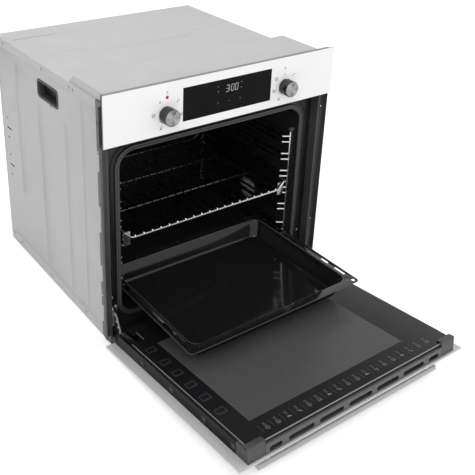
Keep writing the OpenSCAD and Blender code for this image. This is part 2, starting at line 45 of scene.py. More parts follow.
node_body = {n: b for b, ns in frame["record"]["behaviour"]["bodies"].items() for n in ns}
MM = 0.001

# ---------------------------------------------------------------- materials

# Detail of the mottling noise and where on it the two colours lie; detail of the relief's noise
# and the relief's height in metres; and the least roughness
MOTTLE_DETAIL, MOTTLE_LOW, MOTTLE_HIGH = 4.0, 0.3, 0.7
RELIEF_DETAIL, RELIEF_DEPTH = 3, 0.0005
LEAST_ROUGH = 0.02


def shader(name, color, rough=0.4, metal=0.0, vary=0.06, scale=(40, 40, 40), rough_vary=0.06, bump=0.0,
           bump_scale=400.0, emit=0.0, alpha=1.0, spec=0.5):
    """A surface with mottled colour and gloss and a fine relief."""
    m = bpy.data.materials.new(name)
    m.use_nodes = True
    t = m.node_tree
    p = t.nodes["Principled BSDF"]
    coord = t.nodes.new("ShaderNodeTexCoord")
    place = t.nodes.new("ShaderNodeMapping")
    place.inputs["Scale"].default_value = scale
    t.links.new(coord.outputs["Object"], place.inputs["Vector"])
    noise = t.nodes.new("ShaderNodeTexNoise")
    noise.inputs["Scale"].default_value = 1.0
    noise.inputs["Detail"].default_value = MOTTLE_DETAIL
    t.links.new(place.outputs["Vector"], noise.inputs["Vector"])
    ramp = t.nodes.new("ShaderNodeValToRGB")
    ramp.color_ramp.elements[0].position = MOTTLE_LOW
    ramp.color_ramp.elements[1].position = MOTTLE_HIGH
    ramp.color_ramp.elements[0].color = (*[c * (1 - vary) for c in color], 1)
    ramp.color_ramp.elements[1].color = (*[min(1, c * (1 + vary)) for c in color], 1)
    t.links.new(noise.outputs["Fac"], ramp.inputs["Fac"])
    t.links.new(ramp.outputs["Color"], p.inputs["Base Color"])
    gloss = t.nodes.new("ShaderNodeMapRange")
    gloss.inputs["To Min"].default_value = max(LEAST_ROUGH, rough - rough_vary)
    gloss.inputs["To Max"].default_value = min(1, rough + rough_vary)
    t.links.new(noise.outputs["Fac"], gloss.inputs["Value"])
    t.links.new(gloss.outputs["Result"], p.inputs["Roughness"])
    p.inputs["Metallic"].default_value = metal
    p.inputs["Specular IOR Level"].default_value = spec
    p.inputs["Alpha"].default_value = alpha
    if emit:
        p.inputs["Emission Color"].default_value = (*color, 1)
        p.inputs["Emission Strength"].default_value = emit
    if bump:
        fine = t.nodes.new("ShaderNodeTexNoise")
        fine.inputs["Scale"].default_value = bump_scale
        fine.inputs["Detail"].default_value = RELIEF_DETAIL
        t.links.new(coord.outputs["Object"], fine.inputs["Vector"])
        relief = t.nodes.new("ShaderNodeBump")
        relief.inputs["Strength"].default_value = bump
        relief.inputs["Distance"].default_value = RELIEF_DEPTH
        t.links.new(fine.outputs["Fac"], relief.inputs["Height"])
        t.links.new(relief.outputs["Normal"], p.inputs["Normal"])
    return m


ZINC = shader("zinc", (0.375, 0.377, 0.377), rough=0.5, vary=0.03, scale=(18, 18, 18), rough_vary=0.08,
              bump=0.12, bump_scale=260, spec=0.3)
# Painted light: the next zinc is a lighter copy of the one above, for the light falling on the top
ZINC_LIT_TOP = shader("zinc_lit_top", (0.455, 0.455, 0.455), rough=0.5, vary=0.03, scale=(14, 14, 14), bump=0.1,
                  bump_scale=260, spec=0.3)
BLACK = shader("black_enamel", (0.010, 0.010, 0.011), rough=0.26, vary=0.15, scale=(30, 30, 30),
               rough_vary=0.05, bump=0.06, bump_scale=700, spec=0.22)
# Painted light: a lighter copy of the black enamel, for the sheen on the front frame's side flanges
FLANGE_LIT_BLACK = shader("flange_lit_black", (0.042, 0.042, 0.044), vary=0.1, scale=(30, 30, 30), rough_vary=0.05,
                bump=0.06, bump_scale=700, spec=0.3)
TRIM = shader("trim_grey", (0.072, 0.072, 0.076), rough=0.42, vary=0.07, scale=(60, 60, 8),
              rough_vary=0.05, bump=0.08, bump_scale=900, spec=0.35)
STRIP = shader("strip_grey", (0.060, 0.061, 0.063), rough=0.42, vary=0.08, scale=(60, 60, 8),
               rough_vary=0.05, bump=0.08, bump_scale=900, spec=0.3)
CAVITY = shader("cavity_enamel", (0.015, 0.015, 0.016), rough=0.2, vary=0.5, scale=(900, 900, 900),
                rough_vary=0.04, bump=0.05, bump_scale=900, spec=0.35)
SEAL = shader("seal_rubber", (0.035, 0.035, 0.036), rough=0.36, vary=0.15, scale=(200, 200, 200),
              bump=0.25, bump_scale=1200)
STEEL = shader("plain_steel", (0.58, 0.59, 0.60), rough=0.3, metal=0.9, scale=(8, 120, 120),
               rough_vary=0.08, bump=0.06, bump_scale=800)
DOOR_STEEL = shader("door_steel", (0.013, 0.013, 0.014), rough=0.3, vary=0.08, scale=(6, 80, 80),
                    bump=0.05, bump_scale=700, spec=0.08)
CHROME = shader("chrome", (0.82, 0.82, 0.83), rough=0.16, metal=1.0, vary=0.04, scale=(80, 80, 80),
                rough_vary=0.04, bump=0.02, bump_scale=900)
MOTOR = shader("motor_paint", (0.10, 0.10, 0.105), rough=0.5, metal=0.2, vary=0.1, scale=(50, 50, 50),
               bump=0.1, bump_scale=500)
ELEMENT = shader("element_steel", (0.05, 0.049, 0.047), rough=0.45, metal=0.3, vary=0.2,
                 scale=(60, 60, 60), rough_vary=0.08, bump=0.1, bump_scale=700, spec=0.3)
WOOL = shader("mineral_wool", (0.62, 0.55, 0.36), rough=0.95, vary=0.25, scale=(60, 60, 60),
              rough_vary=0.03, bump=1.0, bump_scale=500)
PLASTIC = shader("black_plastic", (0.02, 0.02, 0.02), rough=0.5, vary=0.12, scale=(60, 60, 60),
                 bump=0.3, bump_scale=1200)
PALE = shader("pale_plastic", (0.62, 0.56, 0.42), rough=0.5, vary=0.05, scale=(60, 60, 60),
              rough_vary=0.05, bump=0.2, bump_scale=900)
BOARD = shader("circuit_green", (0.03, 0.17, 0.07), rough=0.35, vary=0.3, scale=(500, 500, 500),
               bump=0.2, bump_scale=900)
DISPLAY = shader("display_black", (0.0075, 0.0075, 0.008), rough=0.12, vary=0.2, scale=(20, 20, 20),
                 rough_vary=0.03, spec=0.03)
WHITE = shader("white_glass", (0.76, 0.76, 0.755), rough=0.25, vary=0.01, scale=(8, 8, 8),
               rough_vary=0.02, spec=0.15)
EDGE = shader("glass_edge", (0.10, 0.105, 0.105), rough=0.3, vary=0.1, scale=(60, 60, 60),
              rough_vary=0.05, spec=0.3)
RED = shader("red_lens", (0.26, 0.006, 0.03), rough=0.2, vary=0.3, scale=(500, 500, 500),
             rough_vary=0.03, emit=0.1)
SCREW = shader("screw_steel", (0.36, 0.36, 0.37), rough=0.45, metal=0.7, vary=0.08,
               scale=(300, 300, 300), rough_vary=0.08, bump=0.1, bump_scale=2000)
DOOR_GLASS = shader("door_glass_back", (0.46, 0.465, 0.465), rough=0.3, vary=0.02, scale=(10, 10, 10),
                    rough_vary=0.03, spec=0.3)
INNER = shader("inner_glass", (0.008, 0.008, 0.009), rough=0.14, vary=0.15, scale=(14, 14, 14),
               rough_vary=0.03, spec=0.08)
CLEAR = shader("clear_glass", (0.6, 0.64, 0.64), rough=0.08, vary=0.05, rough_vary=0.02, alpha=0.35)
BRACKET = shader("bracket_steel", (0.10, 0.10, 0.10), rough=0.3, metal=0.9, vary=0.1,
                 scale=(60, 60, 60), rough_vary=0.08, bump=0.06, bump_scale=800)
SMOKED = shader("smoked_glass", (0.014, 0.015, 0.015), rough=0.1, vary=0.1, rough_vary=0.02, spec=0.2)
HANDLE = shader("handle_metal", (0.37, 0.372, 0.372), vary=0.05, scale=(4, 160, 160), rough_vary=0.07,
                bump=0.04, bump_scale=900, spec=0.3)
TRAY = shader("tray_enamel", (0.010, 0.010, 0.011), rough=0.08, vary=0.35, scale=(600, 600, 600),
              rough_vary=0.03, bump=0.03, bump_scale=200, spec=0.45)
PRINT = shader("grey_print", (0.05, 0.05, 0.055), rough=0.5, vary=0.1, scale=(300, 300, 300),
               rough_vary=0.05, spec=0.2)
SOFT_PRINT = shader("soft_print", (0.075, 0.075, 0.078), rough=0.5, vary=0.2, scale=(300, 300, 300),
                    rough_vary=0.05, spec=0.1)
LIT = shader("lit_print", (0.38, 0.39, 0.40), vary=0.05, scale=(300, 300, 300), rough_vary=0.05,
             emit=0.2)
DIM = shader("dim_print", (0.20, 0.205, 0.21), vary=0.05, scale=(300, 300, 300), rough_vary=0.05,
             emit=0.05)
# Dark for the knobs' pointer marks, and painted shade in the door's gaps
DARK = shader("pointer_dark_and_gap_shade", (0.006, 0.006, 0.006), rough=0.7, vary=0.2, scale=(80, 80, 80),
              rough_vary=0.05, spec=0.2)
DARK_WIRE = shader("shaded_wire", (0.16, 0.16, 0.165), rough=0.28, metal=1.0, vary=0.2,
                   scale=(60, 60, 60), rough_vary=0.08, bump=0.04, bump_scale=900)
ROW_PRINT = shader("row_print", (0.19, 0.19, 0.195), rough=0.5, vary=0.2, scale=(300, 300, 300),
                   rough_vary=0.05, spec=0.1)
# Painted highlight: a light grey for the edge faces of the door's inner glass
GLASS_EDGE_HIGHLIGHT = shader("glass_edge_highlight", (0.20, 0.205, 0.205), rough=0.35, vary=0.1, scale=(60, 60, 60),
                     rough_vary=0.05, spec=0.4)
RAIL = shader("rail_steel", (0.34, 0.34, 0.35), rough=0.25, metal=1.0, vary=0.08, scale=(200, 20, 200),
              bump=0.04, bump_scale=900)
CAP = shader("cap_grey", (0.047, 0.047, 0.051), rough=0.42, vary=0.07, scale=(60, 60, 8),
             rough_vary=0.05, bump=0.08, bump_scale=900, spec=0.35)
# Painted light: a lit copy of the shelf's wire, for its front
SHELF_LIT_FRONT = shader("shelf_lit_front", (0.42, 0.42, 0.43), rough=0.22, metal=1.0, vary=0.1, scale=(60, 60, 60),
                   bump=0.04, bump_scale=900)
# Painted highlight: a lighter copy of the tray's enamel for the edge of its rolled rim
RIM_HIGHLIGHT = shader("rim_highlight", (0.09, 0.09, 0.095), rough=0.22, vary=0.2, scale=(300, 300, 300),
                rough_vary=0.05, bump=0.03, bump_scale=200, spec=0.4)
# Painted light: a grey for the upward faces of the black fascia carrier and the fascia's top edge
LIT_TOP_GREY = shader("lit_top_grey", (0.20, 0.20, 0.20), rough=0.45, vary=0.08, scale=(60, 60, 60),
                      bump=0.1, bump_scale=900, spec=0.3)
RIM = shader("cup_plastic", (0.030, 0.030, 0.032), rough=0.45, vary=0.1, scale=(60, 60, 60), bump=0.15,
             bump_scale=900, spec=0.3)
CLIP = shader("clip_plastic", (0.040, 0.040, 0.042), rough=0.5, vary=0.1, scale=(60, 60, 60), bump=0.1,
              bump_scale=900, spec=0.3)


# Painted sheen: turn about the axis and the brightness painted there
LOBES = ((0.0, 0.26), (0.12, 0.36), (0.25, 0.20), (0.38, 0.32), (0.5, 0.22), (0.62, 0.38), (0.75, 0.18),
         (0.88, 0.30), (1.0, 0.26))
# Warm tint of the bare metal
WARM = (1, 0.985, 0.965)
# Scale and distortion of the turned rings, and the strength and height of their relief
RING_SCALE, RING_WOBBLE, RING_RELIEF, RING_DEPTH = 900, 2, 0.08, 0.0002


def brushed_disc_with_sheen(name, center):
    """Turned metal: a painted sheen of bright and dark lobes around the axis, and fine rings."""
    m = shader(name, (0.40, 0.39, 0.38), rough=0.34, metal=1.0, vary=0.05, scale=(200, 200, 200),
               rough_vary=0.05)
    t = m.node_tree
    p = t.nodes["Principled BSDF"]
    coord = t.nodes.new("ShaderNodeTexCoord")
    place = t.nodes.new("ShaderNodeMapping")
    place.inputs["Location"].default_value = (-center[0], center[2], -center[1])
    place.inputs["Rotation"].default_value = (math.pi / 2, 0, 0)
    t.links.new(coord.outputs["Object"], place.inputs["Vector"])
    around = t.nodes.new("ShaderNodeTexGradient")
    around.gradient_type = "RADIAL"
    t.links.new(place.outputs["Vector"], around.inputs["Vector"])
    ramp = t.nodes.new("ShaderNodeValToRGB")
    ramp.color_ramp.elements[0].position = 0.0
    ramp.color_ramp.elements[1].position = 1.0
    for at, v in LOBES[1:-1]:
        ramp.color_ramp.elements.new(at)
    for e, (at, v) in zip(ramp.color_ramp.elements, LOBES):
        e.position = at
        e.color = (*[v * w for w in WARM], 1)
    t.links.new(around.outputs["Fac"], ramp.inputs["Fac"])
    t.links.new(ramp.outputs["Color"], p.inputs["Base Color"])
    rings = t.nodes.new("ShaderNodeTexWave")
    rings.wave_type = "RINGS"
    rings.rings_direction = "Z"
    rings.inputs["Scale"].default_value = RING_SCALE
    rings.inputs["Distortion"].default_value = RING_WOBBLE
    t.links.new(place.outputs["Vector"], rings.inputs["Vector"])
    relief = t.nodes.new("ShaderNodeBump")
    relief.inputs["Strength"].default_value = RING_RELIEF
    relief.inputs["Distance"].default_value = RING_DEPTH
    t.links.new(rings.outputs["Fac"], relief.inputs["Height"])
    t.links.new(relief.outputs["Normal"], p.inputs["Normal"])
    return m


def dotted(name, angle, ground, dot, pitch, radius):
    """A glass print of round dots on a square grid in a plane tilted by angle about X."""
    m = shader(name, ground, rough=0.3, vary=0.05, scale=(30, 30, 30), rough_vary=0.04, spec=0.15)
    t = m.node_tree
    p = t.nodes["Principled BSDF"]
    coord = t.nodes.new("ShaderNodeTexCoord")
    place = t.nodes.new("ShaderNodeMapping")
    place.inputs["Rotation"].default_value = (angle, 0, 0)
    place.inputs["Scale"].default_value = (1 / pitch, 1 / pitch, 1 / pitch)
    t.links.new(coord.outputs["Object"], place.inputs["Vector"])
    parts = t.nodes.new("ShaderNodeSeparateXYZ")
    t.links.new(place.outputs["Vector"], parts.inputs["Vector"])
    squares = []
    for axis in ("X", "Z"):
        wrap = t.nodes.new("ShaderNodeMath")
        wrap.operation = "PINGPONG"
        wrap.inputs[1].default_value = 0.5
        t.links.new(parts.outputs[axis], wrap.inputs[0])
        power = t.nodes.new("ShaderNodeMath")
        power.operation = "POWER"
        power.inputs[1].default_value = 2
        t.links.new(wrap.outputs[0], power.inputs[0])
        squares.append(power)
    total = t.nodes.new("ShaderNodeMath")
    t.links.new(squares[0].outputs[0], total.inputs[0])
    t.links.new(squares[1].outputs[0], total.inputs[1])
    inside = t.nodes.new("ShaderNodeMath")
    inside.operation = "LESS_THAN"
    inside.inputs[1].default_value = radius**2
    t.links.new(total.outputs[0], inside.inputs[0])
    mix = t.nodes.new("ShaderNodeMix")
    mix.data_type = "RGBA"
    mix.inputs[6].default_value = (*ground, 1)
    mix.inputs[7].default_value = (*dot, 1)
    t.links.new(inside.outputs[0], mix.inputs[0])
    t.links.new(mix.outputs[2], p.inputs["Base Color"])
    return m


# ---------------------------------------------------------------- mesh helpers

# How far the door stands open and where its hinge pins are, in millimetres
OPEN = math.radians(84)
PIVOT_Y, PIVOT_Z = -12.0, 12.0


def same(p):
    """A point in millimetres, in the frame's metres."""
    return (p[0] * MM, p[1] * MM, p[2] * MM)


def on_door(p):
    """A point of the shut door, in millimetres, turned to the resting pose."""
    dy, dz = p[1] - PIVOT_Y, p[2] - PIVOT_Z
    c, s = math.cos(OPEN), math.sin(OPEN)
    return (p[0] * MM, (PIVOT_Y + dy * c - dz * s) * MM, (PIVOT_Z + dy * s + dz * c) * MM)


def piece(name, verts, faces, material, body, smooth=False, at=same, bevel=0.0):
    """A new object of one material that rides on a body."""
    mesh = bpy.data.meshes.new(name)
    mesh.from_pydata([at(v) for v in verts], [], faces)
    bm = bmesh.new()
    bm.from_mesh(mesh)
    bmesh.ops.recalc_face_normals(bm, faces=bm.faces)
    bm.to_mesh(mesh)
    bm.free()
    mesh.materials.append(material)
    for f in mesh.polygons:
        f.use_smooth = smooth or bevel > 0
    o = bpy.data.objects.new(name, mesh)
    bpy.context.scene.collection.objects.link(o)
    if bevel:
        round_edges(o, bevel)
    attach(o, body)
    return o


def round_edges(o, width, segments=2, angle=30):
    """Breaks the edges that turn by more than the angle."""
    b = o.modifiers.new("edge", "BEVEL")
    b.width = width
    b.segments = segments
    b.limit_method = "ANGLE"
    b.angle_limit = math.radians(angle)
    b.harden_normals = True
    b.use_clamp_overlap = True


# Sides of a small printed disc
DISC_SIDES = 14


class Parts:
    """Boxes, bars and rings collected into one piece, in millimetres."""

    def __init__(self):
        self.v, self.f = [], []

    def box(self, x, y, z):
        """A block between two values each of X, Y and Z."""
        n = len(self.v)
        self.v += [(a, b, c) for a in x for b in y for c in z]
        self.f += [[n + i for i in q] for q in
                   ([0, 1, 3, 2], [4, 6, 7, 5], [0, 4, 5, 1], [2, 3, 7, 6], [0, 2, 6, 4], [1, 5, 7, 3])]

    def line(self, a, b, w, y):
        """A flat bar of width w from a to b in X and Z, between two Y values."""
        d = Vector((b[0] - a[0], b[1] - a[1])).normalized() * (w / 2)
        s = (-d[1], d[0])
        n = len(self.v)
        for yy in y:
            self.v += [(a[0] + s[0], yy, a[1] + s[1]), (a[0] - s[0], yy, a[1] - s[1]),
                       (b[0] - s[0], yy, b[1] - s[1]), (b[0] + s[0], yy, b[1] + s[1])]
        self.f += [[n + i for i in q] for q in
                   ([0, 1, 2, 3], [7, 6, 5, 4], [0, 4, 5, 1], [1, 5, 6, 2], [2, 6, 7, 3], [3, 7, 4, 0])]

    def frame(self, cx, cz, w, h, t, y):
        """A hollow rectangle drawn with strokes of width t."""
        p = [(cx + i * w / 2, cz + k * h / 2) for i, k in ((-1, -1), (1, -1), (1, 1), (-1, 1))]
        for i in range(4):
            self.line(p[i], p[(i + 1) % 4], t, y)

    def disc(self, cx, cz, r, y, hole=0.0):
        """A flat disc or ring between two Y values."""
        k, n = len(self.v), DISC_SIDES
        ring = [(math.cos(i * math.tau / n), math.sin(i * math.tau / n)) for i in range(n)]
        radii = [r] if not hole else [r, hole]
        for yy in y:
            for q in radii:
                self.v += [(cx + q * c, yy, cz + q * s) for c, s in ring]
        m = len(radii)
        for i in range(n):
            j = (i + 1) % n
            self.f.append([k + i, k + j, k + m * n + j, k + m * n + i])
            if hole:
                self.f.append([k + n + j, k + n + i, k + 3 * n + i, k + 3 * n + j])
                self.f.append([k + j, k + i, k + n + i, k + n + j])
                self.f.append([k + 2 * n + i, k + 2 * n + j, k + 3 * n + j, k + 3 * n + i])
        if not hole:
            self.f.append([k + i for i in range(n)])
            self.f.append([k + n + i for i in reversed(range(n))])

    def lathe(self, profile, center, n):
        """Profile points (radius, y) turned about an axis along Y."""
        k = len(self.v)
        turns = [i * math.tau / n for i in range(n)]
        for r, y in profile:
            self.v += [(center[0] + r * math.cos(a), y, center[1] + r * math.sin(a)) for a in turns]
        for a in range(len(profile) - 1):
            for i in range(n):
                j = (i + 1) % n
                self.f.append([k + a * n + i, k + a * n + j, k + (a + 1) * n + j, k + (a + 1) * n + i])
        self.f.append([k + i for i in range(n)])
        self.f.append([k + (len(profile) - 1) * n + i for i in reversed(range(n))])

    def loft(self, rings, closed):
        """Rings of equal length joined in order, and the last to the first where closed."""
        k, n = len(self.v), len(rings[0])
        for r in rings:
            self.v += r
        pairs = [(i, i + 1) for i in range(len(rings) - 1)] + ([(len(rings) - 1, 0)] if closed else [])
        for a, b in pairs:
            for i in range(n):
                j = (i + 1) % n
                self.f.append([k + a * n + i, k + a * n + j, k + b * n + j, k + b * n + i])
        return k, n

    def prism(self, outline, z):
        """An upright prism on the outline between two Z values."""
        k, n = len(self.v), len(outline)
        self.v += [(u, v, z[0]) for u, v in outline] + [(u, v, z[1]) for u, v in outline]
        self.f += [[k + i, k + (i + 1) % n, k + n + (i + 1) % n, k + n + i] for i in range(n)]
        self.f += [[k + i for i in reversed(range(n))], [k + n + i for i in range(n)]]

    def make(self, name, material, body, **kw):
        """Turns everything collected into one object."""
        return piece(name, self.v, self.f, material, body, **kw)


def round_rect(w, h, r, n=8):
    """Points of a rectangle with round corners about the origin, as pairs."""
    r = max(r, 0.01)
    out = []
    for cx, cy, a0 in ((1, 1, 0), (-1, 1, 90), (-1, -1, 180), (1, -1, 270)):
        for i in range(n + 1):
            a = math.radians(a0 + 90 * i / n)
            out.append((cx * (w / 2 - r) + r * math.cos(a), cy * (h / 2 - r) + r * math.sin(a)))
    return out


# Points closer than WELD become one, and faces within FLAT of each other become one
WELD = 2e-6
FLAT = math.radians(0.5)


def skin(node, material, width, segments=2):
    """The CAD shape with its edges broken, standing for the CAD node."""
    source = nodes[node]
    mesh = source.data.copy()
    mesh.name = node + "_skin"
    bm = bmesh.new()
    bm.from_mesh(mesh)
    bmesh.ops.remove_doubles(bm, verts=bm.verts, dist=WELD)
    bmesh.ops.dissolve_limit(bm, angle_limit=FLAT, verts=bm.verts, edges=bm.edges)
    bm.to_mesh(mesh)
    bm.free()
    mesh.materials.clear()
    mesh.materials.append(material)
    for f in mesh.polygons:
        f.material_index = 0
        f.use_smooth = True
    o = bpy.data.objects.new(node + "_skin", mesh)
    bpy.context.scene.collection.objects.link(o)
    round_edges(o, width * MM, segments)
    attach(o, node_body[node])
    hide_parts(node)
    return o


def paint(material, *names):
    """Gives CAD nodes that keep their own mesh a material."""
    for n in names:
        mesh = nodes[n].data
        mesh.materials.clear()
        mesh.materials.append(material)


def second(mesh, material, test):
    """Gives the faces that pass the test another material."""
    mesh.materials.append(material)
    for f in mesh.polygons:
        if test(f.center, f.normal):
            f.material_index = len(mesh.materials) - 1


# ---------------------------------------------------------------- CAD nodes with new finishes

paint(ZINC, "base_plate", "rear_panel")
paint(CAVITY, "cavity", "fan_cover")
paint(WOOL, "insulation")
paint(STEEL, "convection_fan", "blower_housing", "cooling_rotor", "lamp_housing", "rack_studs")
paint(CHROME, "left_rack", "right_rack")
paint(MOTOR, "fan_motor", "blower_motor")
paint(ELEMENT, "ring_element", "grill_element", "bottom_element")
paint(CLEAR, "lamp_cover", "lamp_bulb")
paint(SMOKED, "middle_glass")
paint(PLASTIC, "fascia_carrier", "cable_gland")
paint(PALE, "terminal_block", "mode_switch", "thermostat")
paint(BOARD, "control_board")
paint(DISPLAY, "display_module", "display_window")
paint(RED, "indicator_lens")

# A face points along an axis when its normal's share of that axis is above one of these
FACING, NEARLY_FLAT = 0.5, 0.9
# The racks are in shade inwards of this X and behind this Y
SHADE_X, SHADE_Y = 232 * MM, 60 * MM
for rack in ("left_rack", "right_rack"):
    second(nodes[rack].data, DARK_WIRE, lambda c, n: abs(c.x) < SHADE_X and c.y > SHADE_Y)
# Painted light: the carrier's upward faces are grey where its black top catches the light
second(nodes["fascia_carrier"].data, LIT_TOP_GREY, lambda c, n: n.z > NEARLY_FLAT)

# Node, material and how wide its edges are broken, in millimetres, then the rounding's steps
SKINS = (
    ("left_side_panel", ZINC, 0.4),
    ("right_side_panel", ZINC, 0.4),
    ("top_cover", ZINC_LIT_TOP, 0.5),
    ("front_frame", BLACK, 0.5),
    ("left_frame_trim", STRIP, 0.4),
    ("right_frame_trim", STRIP, 0.4),
    ("grip_cups", PLASTIC, 0.8),
    ("housing_screws", SCREW, 0.5),
    ("frame_screws", SCREW, 0.5),
    ("fixed_rails", RAIL, 0.3),
    ("sliding_rails", RAIL, 0.8),
    ("left_hinge_arm", STEEL, 0.4),
    ("right_hinge_arm", STEEL, 0.4),
    ("left_hinge_body", BRACKET, 0.4),
    ("right_hinge_body", BRACKET, 0.4),
    ("outer_glass", DOOR_GLASS, 0.7),
    ("inner_glass", INNER, 0.5),
    ("left_door_profile", DOOR_STEEL, 0.5),
    ("right_door_profile", DOOR_STEEL, 0.5),
    ("bottom_profile", DOOR_STEEL, 0.5),
    ("vent_trim", TRIM, 0.5),
    ("left_end_cap", CAP, 1.4, 3),
    ("right_end_cap", CAP, 1.4, 3),
    ("handle_bar", HANDLE, 0.6),
    ("handle_posts", HANDLE, 0.8),
    ("fascia_glass", WHITE, 0.5),
)
skins = {entry[0]: skin(*entry) for entry in SKINS}

# The front frame's side flanges start here; they get a lighter copy of its black enamel, a painted sheen
FLANGE_X = 279 * MM
# Painted light: the top cover's sideways faces keep the darker zinc, its upper faces the lighter copy
second(skins["top_cover"].data, ZINC, lambda c, n: abs(n.x) > FACING)
second(skins["front_frame"].data, FLANGE_LIT_BLACK, lambda c, n: abs(c.x) > FLANGE_X)
# Painted highlight on the inner glass's edge faces
second(skins["inner_glass"].data, GLASS_EDGE_HIGHLIGHT, lambda c, n: abs(n.z) < FACING)

# Faces past these belong to the fascia's outer edge and not to the rims of its holes
OUTLINE_X, OUTLINE_LOW, OUTLINE_HIGH = 290 * MM, 490 * MM, 590 * MM
# Flat shading keeps the broad white face free of gradients from its broken edge
skins["fascia_glass"].modifiers["edge"].harden_normals = False
fascia = skins["fascia_glass"].data
for f in fascia.polygons:
    f.use_smooth = False
second(fascia, EDGE, lambda c, n: abs(n.y) < FACING and (abs(c.x) > OUTLINE_X or c.z < OUTLINE_LOW))
# Painted light: the fascia's top faces take the same grey, lighter than its dark side edges
second(fascia, LIT_TOP_GREY, lambda c, n: n.z > FACING and c.z > OUTLINE_HIGH)

# ---------------------------------------------------------------- door seal and frame bead

# Width, height, middle height and corner radius of the oven's opening
OPEN_W, OPEN_H, OPEN_Z, OPEN_R = 484, 390, 253, 35
# Two soft lips with a groove between them, and the pressed bead round them
LIPS = ((0.6, 19.9), (0.8, 17.6), (2.0, 16.3), (4.2, 16.0), (5.6, 17.0), (6.2, 18.4), (6.8, 17.2),
        (8.2, 16.4), (10.2, 16.6), (11.4, 17.8), (11.9, 19.9))
BEAD = ((19, 20.1), (20, 18.9), (21.5, 18.3), (23.0, 18.9), (24, 20.1))


def around_opening(section):
    """A closed band round the oven opening; the section is (outward offset, y) points."""
    p = Parts()
    rings = []
    for off, y in section:
        outline = round_rect(OPEN_W + 2 * off, OPEN_H + 2 * off, OPEN_R + off, 10)
        rings.append([(x, y, OPEN_Z + z) for x, z in outline])
    p.loft(rings, True)
    return p


seal = around_opening(LIPS).make("door_seal_lips", SEAL, "housing", smooth=True)
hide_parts("door_seal")
around_opening(BEAD).make("frame_bead", BLACK, "housing", smooth=True)

# ---------------------------------------------------------------- pressed ribs on the sheet metal

# Faces of the side panels and the top cover
SIDE_X, TOP_Z = 280, 566
# Width and height of the ribs, and how far their feet are sunk in the sheet
UPRIGHT_RIB, FOOT_RIB, TOP_RIB, SUNK = (15, 3.2), (12, 2.4), (16, 1.6), 0.3
# Depth, lower end and upper end of each upright rib
UPRIGHTS = ((440, 181, 526), (317, 40, 470), (184, 40, 470), (105, 40, 540))
FOOT_ENDS = ((60, 26), (520, 26))
# The step across the top cover, and a seam at its rear
STEP = ((-250, 350), (-150, 340), (-122, 309), (122, 309), (150, 340), (250, 350))
SEAM_X, SEAM_Y, SEAM_Z = (-265, -151), (476.6, 478.6), (565.9, 566.06)


def rib(p, a, b, size, fixed, axis):
    """A low rib from a to b on a panel at the fixed coordinate; size is its width and height."""
    w, h = size
    d = Vector((b[0] - a[0], b[1] - a[1]))
    d.normalize()
    s = Vector((-d[1], d[0]))
    section = [(-w / 2, -SUNK), (-w / 4, h), (w / 4, h), (w / 2, -SUNK)]
    n = len(p.v)
    for q, pull in ((a, w / 2), (b, -w / 2)):
        for off, up in section:
            shift = pull if up > 0 else 0
            u, v = q[0] + s[0] * off + d[0] * shift, q[1] + s[1] * off + d[1] * shift
            p.v.append((u, v, fixed + up) if axis == "z" else (fixed + (up if fixed > 0 else -up), u, v))
    p.f += [[n, n + 1, n + 5, n + 4], [n + 1, n + 2, n + 6, n + 5], [n + 2, n + 3, n + 7, n + 6],
            [n, n + 3, n + 2, n + 1], [n + 4, n + 5, n + 6, n + 7], [n, n + 4, n + 7, n + 3]]


for sign, side in ((-1, "left"), (1, "right")):
    p = Parts()
    for y, low, high in UPRIGHTS:
        rib(p, (y, low), (y, high), UPRIGHT_RIB, sign * SIDE_X, "x")
    rib(p, *FOOT_ENDS, FOOT_RIB, sign * SIDE_X, "x")
    p.make(side + "_panel_ribs", ZINC, "housing", bevel=0.4 * MM)

# The ribs across the top take the top's lighter, painted-light zinc
p = Parts()
for a, b in zip(STEP, STEP[1:]):
    rib(p, a, b, TOP_RIB, TOP_Z, "z")
p.make("top_ribs", ZINC_LIT_TOP, "housing", bevel=0.4 * MM)
p = Parts()
p.box(SEAM_X, SEAM_Y, SEAM_Z)
p.make("top_seam", MOTOR, "housing")

# ---------------------------------------------------------------- control panel prints and display

# The prints stand this far out of the panel's glass
FACE = (-20.14, -20.0)


def menu_mark(p, x, z):
    p.frame(x, z, 6.4, 5.4, 1.0, FACE)
    p.line((x - 2, z), (x + 2, z), 0.6, FACE)


def ring_mark(p, x, z):
    p.disc(x, z, 2.6, FACE, hole=1.9)
    p.line((x - 4, z - 4), (x + 3, z - 3), 1.1, FACE)


def bars_mark(p, x, z):
    p.line((x - 2.4, z - 1), (x + 2.4, z - 1), 1.1, FACE)
    p.line((x - 1.2, z + 1.8), (x + 2.0, z + 1.8), 1.1, FACE)


def ray_mark(p, x, z):
    p.disc(x, z, 1.2, FACE)
    p.line((x + 2, z + 2), (x + 5, z + 4), 1.4, FACE)


def tick_mark(p, x, z):
    p.line((x, z - 2.5), (x, z + 2.5), 1.3, FACE)


MARKS = (
    (menu_mark, -185, 531), (ring_mark, -167, 502), (bars_mark, -139, 501), (ray_mark, -129, 550),
    (bars_mark, -170, 556), (ring_mark, -119, 523), (bars_mark, -153, 574), (bars_mark, 153, 570),
    (tick_mark, 153, 557), (ray_mark, 177, 549), (menu_mark, 130, 549), (menu_mark, 125, 522),
    (ring_mark, 140, 502), (bars_mark, 169, 501),
)
p = Parts()
for mark, x, z in MARKS:
    mark(p, x, z)
p.make("panel_symbols", PRINT, "housing")

